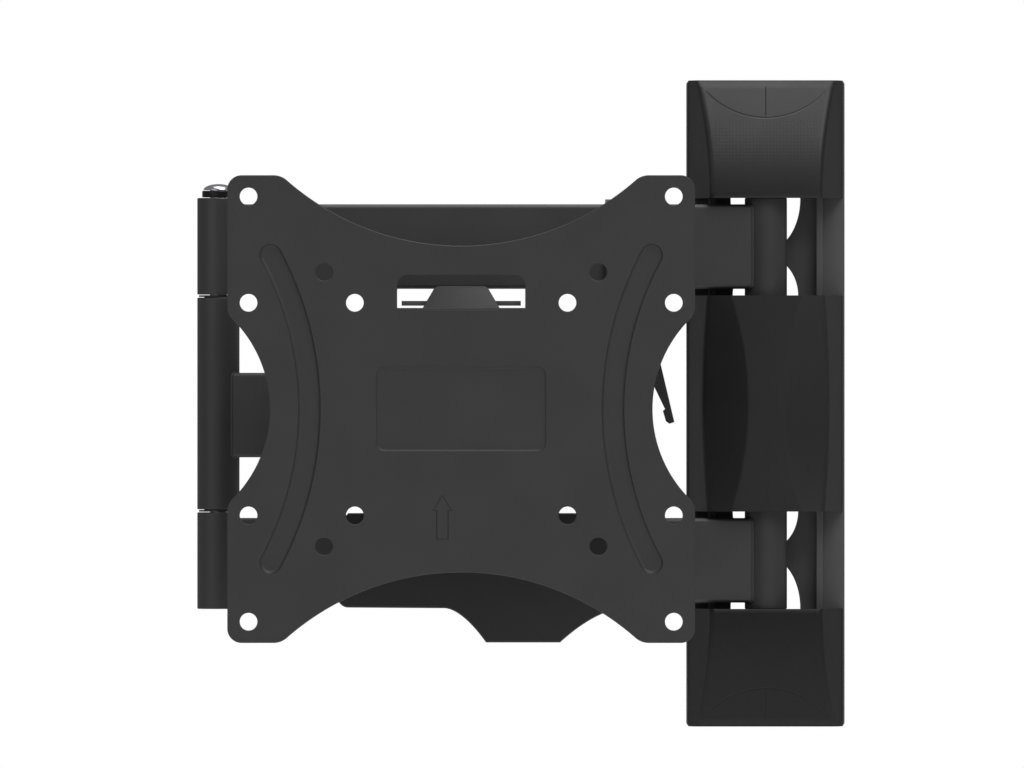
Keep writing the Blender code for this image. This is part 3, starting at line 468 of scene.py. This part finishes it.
def cover_loop(depth, ridge=None, scoop=None, corner=2.2 * MM):
    """A cover's outline at one height, from its right foot over the front to its left foot.

    Its corners are round. A ridge and a scoop are the half width of its front and the depth of its sides.
    """
    half = WALL_WIDTH / 2
    back = 2.8 * MM
    edge = depth if scoop is None else scoop
    points = [(half - COVER_LEAN * back, -back), (half - COVER_LEAN * edge, -edge)]
    if ridge is not None:
        points.append((ridge, -depth))
    points += [(-x, y) for x, y in reversed(points)]
    made = [points[0]]
    for i in range(1, len(points) - 1):
        before, here, after = (Vector(points[i + k]) for k in (-1, 0, 1))
        size = corner if ridge is None or i in (1, len(points) - 2) else 0.8 * MM
        start = here + (before - here).normalized() * size
        end = here + (after - here).normalized() * size
        for k in range(7):
            t = k / 6
            made.append(tuple(start * (1 - t) ** 2 + here * 2 * t * (1 - t) + end * t**2))
    return made + [points[-1]]


def cover_shell(sections):
    """An open skin through the sections, and its rows of points, which an end face can close."""
    made = bmesh.new()
    rows = [[made.verts.new((x, y, z)) for x, y in loop] for z, loop in sections]
    for low, high in zip(rows, rows[1:]):
        for i in range(len(low) - 1):
            made.faces.new((low[i], low[i + 1], high[i + 1], high[i]))
    return made, rows


def thick(made, wall=1.8 * MM):
    """The skin as a shell with a wall, measured inwards."""
    bmesh.ops.recalc_face_normals(made, faces=made.faces)
    centre = Vector((0, -0.01, sum(v.co.z for v in made.verts) / len(made.verts)))
    face = min(made.faces, key=lambda f: f.calc_center_median().y)
    if face.normal.dot(face.calc_center_median() - centre) < 0:
        bmesh.ops.reverse_faces(made, faces=made.faces)
    mesh = bpy.data.meshes.new("shell")
    made.to_mesh(mesh)
    made.free()
    guide = bpy.data.objects.new("guide", mesh)
    bpy.context.scene.collection.objects.link(guide)
    modifier = guide.modifiers.new("wall", "SOLIDIFY")
    modifier.thickness = wall
    modifier.offset = -1
    modifier.use_even_offset = False
    result = evaluated_mesh(guide)
    bpy.data.objects.remove(guide)
    return result


def end_cover(side):
    sections = []
    rows = 40
    for i in range(rows + 1):
        share = i / rows
        depth = (36 - 20.5 * share**2) * MM
        z = WINDOW_OUTER + (WALL_HALF_HEIGHT - WINDOW_OUTER) * share
        lip = max(0, 1 - share * 45)
        sections.append((side * z, cover_loop(depth - 0.7 * MM * lip**2, corner=(2.2 + 0.6 * share) * MM)))
    tip_depth = 15.5 * MM
    edge = 1.6 * MM
    for k in range(1, 6):
        angle = math.radians(18 * k)
        drop = edge * (1 - math.cos(angle))
        rise = edge * math.sin(angle)
        sections.append((side * (WALL_HALF_HEIGHT - edge + rise), cover_loop(tip_depth - drop)))
    sections = [s for i, s in enumerate(sections) if i > rows or abs(s[0]) < WALL_HALF_HEIGHT - edge]
    made, shell_rows = cover_shell(sections)
    made.faces.new(shell_rows[-1])
    return thick(made)


def middle_cover():
    sections = []
    rows = 48
    for i in range(rows + 1):
        share = 2 * i / rows - 1
        ridge = (8.3 + 8.2 * share**2) * MM
        scoop = (24.5 + 7.5 * share**2) * MM
        sections.append((WINDOW_INNER * share, cover_loop(COVER_DEPTH, ridge=ridge, scoop=scoop)))
    made, rows = cover_shell(sections)
    for row in (rows[0], rows[-1]):
        made.faces.new(row)
    return thick(made)


finish("cover_top_finished", end_cover(1), "wall", TOP_COVER, ["cover_top"], 40)
finish("cover_bottom_finished", end_cover(-1), "wall", BOTTOM_COVER_PAINTED_SHADE, ["cover_bottom"], 40)
room = 11.2 * MM
notch = slab([arc((0, AXIS_Y), room, 0, -180, 48) + [(-room, 5 * MM), (room, 5 * MM)]], 110 * MM)
channel_room = box_mesh(56.6 * MM, 27 * MM, 110 * MM)
tools = [("DIFFERENCE", notch, ORIGIN, FLAT), ("DIFFERENCE", channel_room, ORIGIN, FLAT)]
mesh = placed(middle_cover(), ORIGIN, FLAT, tools)
finish("cover_middle_finished", mesh, "wall", MIDDLE_COVER, ["cover_middle"], 24)


# Turned pieces

def ring_mesh(radius, bore, low, high, edge):
    top = arc((radius - edge, high - edge), edge, 90, 0, 5)
    bottom = arc((radius - edge, low + edge), edge, 0, -90, 5)
    return turn_mesh(top + bottom + [(bore, low), (bore, high)])


def body_of(name):
    for body, names in frame["record"]["behaviour"]["bodies"].items():
        if name in names:
            return body
    return None


def material_slot(name):
    for part in frame["record"]["subparts"]:
        if part["node"] == name:
            return part["material_slot"]
    return None


RINGS = {  # bore and edge
    "wall_pivot_tube": (BUSH_BORE, 0.5 * MM), "elbow_barrel_top": (BOLT_BORE, 0.5 * MM),
    "elbow_barrel_middle": (BUSH_BORE, 0.5 * MM), "head_barrel": (BUSH_BORE, 0.5 * MM),
    "elbow_collar": (BOLT_BORE, 0.4 * MM), "wall_pivot_washer_top": (BOLT_BORE, 0.3 * MM),
    "wall_pivot_washer_bottom": (BOLT_BORE, 0.3 * MM), "swivel_washer_top": (BOLT_BORE, 0.3 * MM),
    "swivel_washer_bottom": (BOLT_BORE, 0.3 * MM),
}
for name, (bore, edge) in RINGS.items():
    low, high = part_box(name)
    middle = ((low[0] + high[0]) / 2, (low[1] + high[1]) / 2, 0)
    mesh = placed(ring_mesh((high[0] - low[0]) / 2, bore, low[2], high[2], edge), middle)
    slot = material_slot(name)
    finish(name + "_finished", mesh, body_of(name), BY_SLOT[slot], [name])
for name in (
    "tilt_washer_right", "tilt_washer_left", "tilt_friction_washer_right", "tilt_friction_washer_left",
):
    low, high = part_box(name)
    half = (high[0] - low[0]) / 2
    middle = tuple((a + b) / 2 for a, b in zip(low, high))
    mesh = placed(ring_mesh((high[1] - low[1]) / 2, BOLT_BORE, -half, half, 0.3 * MM), middle, ALONG_X)
    slot = material_slot(name)
    finish(name + "_finished", mesh, "head", BY_SLOT[slot], [name])

low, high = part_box("elbow_barrel_bottom")
barrel = ring_mesh(BARREL_RADIUS, BOLT_BORE, low[2], high[2], 0.5 * MM)
nut_pocket = ("DIFFERENCE", rod_mesh(8 * MM, 15.6 * MM), (ELBOW_X, AXIS_Y, -STACK_TOP), FLAT)
mesh = placed(barrel, (ELBOW_X, AXIS_Y, 0), FLAT, [nut_pocket])
finish("elbow_barrel_bottom_finished", mesh, "long_arm", BARREL, ["elbow_barrel_bottom"])

low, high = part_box("elbow_bolt")
dome = (7.1 * MM, 2.9 * MM)
seat = high[2] - dome[1]
profile = [(0, high[2])] + arc((0, seat), dome, 86, 0, 20)
profile += [(4 * MM, seat), (4 * MM, low[2] + 0.5 * MM), (3.5 * MM, low[2]), (0, low[2])]
mesh = placed(turn_mesh(profile), (ELBOW_X, AXIS_Y, 0))
finish("elbow_bolt_finished", mesh, "long_arm", ZINC, ["elbow_bolt"])


# Arms

def arm_tube(name, body, start, end, z):
    outer = rounded_box(TUBE_DEPTH, TUBE_HEIGHT, TUBE_EDGE)
    inner = rounded_box(TUBE_DEPTH - 2 * TUBE_WALL, TUBE_HEIGHT - 2 * TUBE_WALL, 1 * MM, steps=6)
    tools = []
    for x in (start, end):
        tools.append(("DIFFERENCE", rod_mesh(BARREL_RADIUS + FIT, 48 * MM, 128), (x, AXIS_Y, z), FLAT))
    mesh = slab([outer, inner], abs(end - start))
    mesh = placed(mesh, ((start + end) / 2, AXIS_Y, z), SIDEWAYS, tools)
    finish(name + "_finished", mesh, body, ARM_COAT_PAINTED_LIGHT, [name], flats=(1, 2))


arm_tube("long_arm_tube_upper", "long_arm", ELBOW_X, 0, TUBE_Z)
arm_tube("long_arm_tube_lower", "long_arm", ELBOW_X, 0, -TUBE_Z)
arm_tube("short_arm_tube", "short_arm", ELBOW_X, HEAD_X, SHORT_ARM_Z)


def weld_bead(name, body, x, z, side):
    """The bead that joins a tube to its barrel, round the tube's end."""
    reach = BARREL_RADIUS + FIT / 2
    points = []
    for y, rise in rounded_box(TUBE_DEPTH, TUBE_HEIGHT, TUBE_EDGE, steps=5):
        across = math.sqrt(max(reach**2 - y**2, 0))
        points.append((x + side * across, AXIS_Y + y, z + rise))
    fine_bead(name, points, 0.55 * MM, 3, body, ARM_COAT_PAINTED_LIGHT)


weld_bead("weld_upper_elbow", "long_arm", ELBOW_X, TUBE_Z, 1)
weld_bead("weld_lower_elbow", "long_arm", ELBOW_X, -TUBE_Z, 1)
weld_bead("weld_upper_wall", "long_arm", 0, TUBE_Z, -1)
weld_bead("weld_lower_wall", "long_arm", 0, -TUBE_Z, -1)
weld_bead("weld_short_elbow", "short_arm", ELBOW_X, SHORT_ARM_Z, 1)
weld_bead("weld_short_head", "short_arm", HEAD_X, SHORT_ARM_Z, -1)


# Screen plate

def plate_outline():
    half = 110 * MM
    top_z = (76.8 + 124.4) * MM
    fillet, radius = 9.5 * MM, 124.4 * MM
    fillet_z = half - fillet
    fillet_x = math.sqrt((radius + fillet) ** 2 - (top_z - fillet_z) ** 2)
    swing = math.degrees(math.atan2(fillet_x, top_z - fillet_z))
    points = arc((0, top_z), radius, -90, -90 + swing, 40)
    points += arc((fillet_x, fillet_z), fillet, 90 + swing, 90, 14)
    corner = 6.7 * MM
    points += arc((half - corner, half - corner), corner, 90, 0, 14)
    radius, fillet = 59.6 * MM, 8 * MM
    side_x = 90 * MM + radius
    fillet_x = half - fillet
    fillet_z = math.sqrt((radius + fillet) ** 2 - (side_x - fillet_x) ** 2)
    swing = math.degrees(math.atan2(fillet_z, side_x - fillet_x))
    points += arc((fillet_x, fillet_z), fillet, 0, -swing, 12)
    points += arc((side_x, 0), radius, 180 - swing, 180, 30)
    right = points + [(x, -z) for x, z in reversed(points[:-1])]
    return right + [(-x, z) for x, z in reversed(right[1:-1])]


def groove_outline(width):
    centre = (71.4 + 153) * MM
    radius = 153 * MM
    swing = math.degrees(math.asin((77.8 * MM - width / 2) / radius))
    inner = arc((centre, 0), radius + width / 2, 180 - swing, 180 + swing, 61)
    outer = arc((centre, 0), radius - width / 2, 180 + swing, 180 - swing, 61)
    ends = []
    for turn in (swing, -swing):
        angle = math.radians(180 - turn)
        middle = (centre + radius * math.cos(angle), radius * math.sin(angle))
        start = 180 - turn if turn < 0 else -turn
        ends.append(arc(middle, width / 2, start, start + 180, 16)[1:-1])
    return inner + ends[1] + outer + ends[0]


SLOT_BOTTOM = 47.6 * MM


def slot_outline():
    half = 30.1 * MM
    corner = 5 * MM
    top = arc((half - corner, 58.2 * MM), corner, 0, 90, 12)
    return [(half, SLOT_BOTTOM)] + top + [(-x, z) for x, z in reversed(top)] + [(-half, SLOT_BOTTOM)]


outlines = [plate_outline(), slot_outline()]
for x, z in ((100, 100), (100, 50), (50, 50), (64.5, 64.5)):
    for sx in (1, -1):
        for sz in (1, -1):
            outlines.append(circle((sx * x * MM, sz * z * MM), 4.15 * MM, 40))
at = (HEAD_X, FRONT + PLATE_SHEET / 2, PLATE_Z)
tools = []
for side in (1, -1):
    rib = [(side * x, z) for x, z in groove_outline(12.5 * MM)]
    tools.append(("UNION", slab([rib], 2.85 * MM, 1.1 * MM, 4), (HEAD_X, -91.825 * MM, PLATE_Z), FACING))
for side in (1, -1):
    groove = [(side * x, z) for x, z in groove_outline(10.8 * MM)]
    groove_at = (HEAD_X, FRONT - 0.6 * MM, PLATE_Z)
    tools.append(("DIFFERENCE", slab([groove], 4.4 * MM, 2.15 * MM, 6), groove_at, FACING))
recess = slab([rounded_box(80 * MM, 40 * MM, 4 * MM)], 2.4 * MM, 1.1 * MM, 4)
tools.append(("DIFFERENCE", recess, (HEAD_X, FRONT - 0.4 * MM, PLATE_Z), FACING))
mesh = placed(slab(outlines, PLATE_SHEET, 0.4 * MM), at, FACING, tools)
finish("screen_plate_finished", mesh, "screen", PLATE, ["screen_plate"], 28, flats=(1,))


arrow_x, tip, base, foot = -8.8, -40.6, -47.7, -61.0
head_half, shaft_half = 4.4, 2.65
arrow = [(0, tip), (head_half, base), (shaft_half, base), (shaft_half, foot),
         (-shaft_half, foot), (-shaft_half, base), (-head_half, base)]
points = [(HEAD_X + (arrow_x + x) * MM, FRONT + 0.1 * MM, PLATE_Z + z * MM) for x, z in arrow]
INK = coat("stamped_line", (0.012, 0.012, 0.012), 0.6, 0.0, 1500, 0.00002)
fine_bead("up_arrow", points, 0.3 * MM, 2, "screen", INK)

lean = math.radians(15)
tall = 10 * MM / math.cos(lean)
tongue = [(18 * MM, -2 * MM), (18 * MM, 0), (12.6 * MM, tall - 0.8 * MM), (11 * MM, tall)]
tongue += [(-x, z) for x, z in reversed(tongue)]
at = (HEAD_X, FRONT + PLATE_SHEET / 2, PLATE_Z + SLOT_BOTTOM)
mesh = placed(slab([tongue], 2 * MM, 0.35 * MM), at, (math.pi / 2 - lean, 0, 0))
added("slot_tongue", mesh, "screen", PLATE)


# Cable cover

def lobe_curve():
    points = []
    for side, (top, floor) in enumerate(((152, 132.4), (67, 97.4))):
        slope = []
        steps = 24
        for i in range(steps + 1):
            share = i / steps
            slope.append((-(top + (floor - top) * share) * MM, -(0.3 + 16.2 * share**1.7) * MM))
        points += slope if side == 0 else slope[::-1]
    return points


top = 22.3 * MM
left, right, corner = -202.5 * MM, -60 * MM, 5 * MM
outline = [(right, -top), (right, top), (left + corner, top), (left, top - corner)]
outline += arc((left + corner, -top + corner), corner, 180, 270, 12)
outline += [(x, z - top) for x, z in lobe_curve()]
front, back = AXIS_Y - 10.3 * MM, AXIS_Y + TUBE_DEPTH / 2
middle_y = (front + back) / 2
duct_height = 13.9 * MM
duct_z = -TUBE_Z - top - 0.6 * MM - duct_height / 2
tube_room = box_mesh(600 * MM, TUBE_DEPTH + 2 * FIT, TUBE_HEIGHT + 2 * FIT)
duct = box_mesh(600 * MM, back - front - 4 * MM, duct_height)
tools = [
    ("DIFFERENCE", tube_room, (0, AXIS_Y, -TUBE_Z), FLAT),
    ("DIFFERENCE", duct, (0, middle_y, duct_z), FLAT),
]
mesh = placed(slab([outline], back - front, 0.7 * MM), (0, middle_y, -TUBE_Z), FACING, tools)
finish("cable_cover_finished", mesh, "long_arm", CLIP, ["cable_cover"], flats=(1, 2))


# The CAD pieces that stay, with their edges eased

for name, obj in frame["nodes"].items():
    material = BY_SLOT[material_slot(name)]
    obj.data.materials.clear()
    obj.data.materials.append(material)
    if obj.hide_render:
        continue
    ease = obj.modifiers.new("eased_edges", "BEVEL")
    ease.width = 0.35 * MM
    ease.segments = 2
    ease.limit_method = "ANGLE"
    ease.angle_limit = math.radians(40)
    ease.use_clamp_overlap = True


# Stage, light and camera

def area(name, place, size, power):
    data = bpy.data.lights.new(name, "AREA")
    data.energy = power
    data.size = size
    obj = bpy.data.objects.new(name, data)
    bpy.context.scene.collection.objects.link(obj)
    obj.location = place
    obj.rotation_euler = (Vector((-0.1, 0, 0)) - Vector(place)).to_track_quat("-Z", "Y").to_euler()


floor_mesh = box_mesh(3.0, 3.0, 0.01)
floor = bpy.data.objects.new("floor", floor_mesh)
bpy.context.scene.collection.objects.link(floor)
floor.location = (-0.12, 0, -0.45)
floor_mesh.materials.append(coat("floor_paint", (0.82, 0.82, 0.82), 0.8, 0.0, 20, 0.00001, spread=0.01))
paint = floor_mesh.materials[0].node_tree.nodes["Principled BSDF"]
paint.inputs["Emission Color"].default_value = (1, 1, 1, 1)
paint.inputs["Emission Strength"].default_value = 0.2

world = bpy.data.worlds.new("studio")
bpy.context.scene.world = world
world.use_nodes = True
tree = world.node_tree
background = tree.nodes["Background"]
background.inputs["Color"].default_value = (1, 1, 1, 1)
path = tree.nodes.new("ShaderNodeLightPath")
strength = maths(tree, "MULTIPLY_ADD", path.outputs["Is Camera Ray"], 0.8, 0.2)
tree.links.new(strength, background.inputs["Strength"])
area("key", (0.5, -1.1, 1.5), 1.2, 19)
area("fill", (-1.3, -1.4, 0.5), 1.2, 2.5)
area("above", (-0.1, 0.1, 1.6), 1.0, 11)

camera = bpy.data.cameras.new("camera")
view = bpy.data.objects.new("camera", camera)
bpy.context.scene.collection.objects.link(view)
DISTANCE = 12.0
FRAME_WIDTH = 0.48416
camera.sensor_width = 36
camera.lens = 36 * DISTANCE / FRAME_WIDTH
camera.clip_end = 100
view.location = (-0.1201, -DISTANCE - 0.03, 0.0092)
view.rotation_euler = (math.pi / 2, 0, 0)
bpy.context.scene.camera = view
bpy.context.scene.view_settings.view_transform = "Standard"
